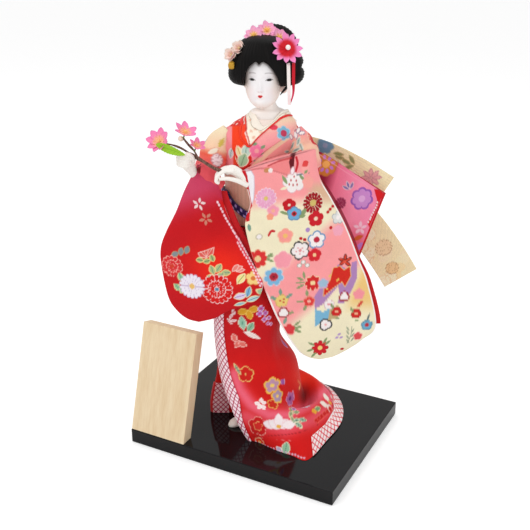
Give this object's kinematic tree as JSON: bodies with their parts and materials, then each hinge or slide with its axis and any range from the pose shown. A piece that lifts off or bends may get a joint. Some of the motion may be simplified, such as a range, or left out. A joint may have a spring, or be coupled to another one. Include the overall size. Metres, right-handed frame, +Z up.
{
  "type": "kimono doll",
  "caption": "Standing doll in a red and pink flowered kimono with a gold sash, holding a blossom branch, on a black lacquered board with a leaning wooden plate.",
  "frame": {"origin": "centre of the display board's underside", "axes": "+Z up, -Y towards the board's front edge where the wooden plate leans, +X to the right"},
  "size_m": [0.2753, 0.247, 0.5015],
  "materials": {
    "black_lacquer": "gloss black lacquer",
    "pale_wood": "planed, unfinished",
    "rod_steel": "plain",
    "core_wood": "unfinished",
    "white_skin": "matt white shell-powder coat",
    "black_hair": "combed fibre",
    "red_silk": "printed crepe",
    "pink_silk": "printed crepe",
    "cream_silk": "crepe",
    "magenta_silk": "printed crepe",
    "lattice_silk": "printed lattice",
    "gold_brocade": "brocade with metallic thread",
    "tan_brocade": "brocade",
    "purple_cord": "dotted padded cord",
    "pink_petal": "pressed cloth",
    "red_petal": "pressed cloth",
    "pale_petal": "pressed cloth",
    "pearl": "pearly gloss",
    "brown_stick": "paper wrapped wire",
    "green_leaf": "pressed cloth",
    "ochre_comb": "gloss"
  },
  "bodies": {
    "root": {"display_base": "black_lacquer", "name_plate": "pale_wood", "neck_pin": "core_wood", "support_rod": "rod_steel", "body_core": "core_wood", "kimono_skirt": "red_silk", "lattice_front_edge": "lattice_silk", "lattice_hem_band": "lattice_silk", "under_hem": "lattice_silk", "sash_band": "tan_brocade", "kimono_bodice": "pink_silk", "inner_collar": "cream_silk", "embroidered_collar": "cream_silk", "collar_piping": "red_silk", "kimono_collar": "pink_silk", "sash_cord": "purple_cord", "head": "white_skin", "hair": "black_hair", "hair_ribbon": "red_silk", "topknot": "black_hair", "side_comb": "ochre_comb", "left_sleeve": "pink_silk", "left_sleeve_lining": "red_silk", "left_sleeve_back": "magenta_silk", "left_sleeve_back_lining": "red_silk", "right_sleeve": "red_silk", "right_sleeve_lining": "red_silk", "sash_knot": "gold_brocade", "sash_tail_upper": "gold_brocade", "sash_tail_lower": "gold_brocade", "branch": "brown_stick", "left_hand": "white_skin", "right_hand": "white_skin", "tabi_foot": "cream_silk", "big_flower": "red_petal", "flower_pearl": "pearl", "pink_flower_1": "pink_petal", "pink_flower_2": "pink_petal", "pink_flower_3": "pink_petal", "pale_blossom_1": "pale_petal", "pale_blossom_2": "pale_petal", "white_ribbon": "cream_silk", "red_ribbon": "red_silk", "branch_blossom_1": "pink_petal", "branch_blossom_2": "pink_petal", "branch_blossom_3": "pink_petal", "branch_leaf": "green_leaf", "branch_bud": "pale_petal"}
  },
  "joints": []
}
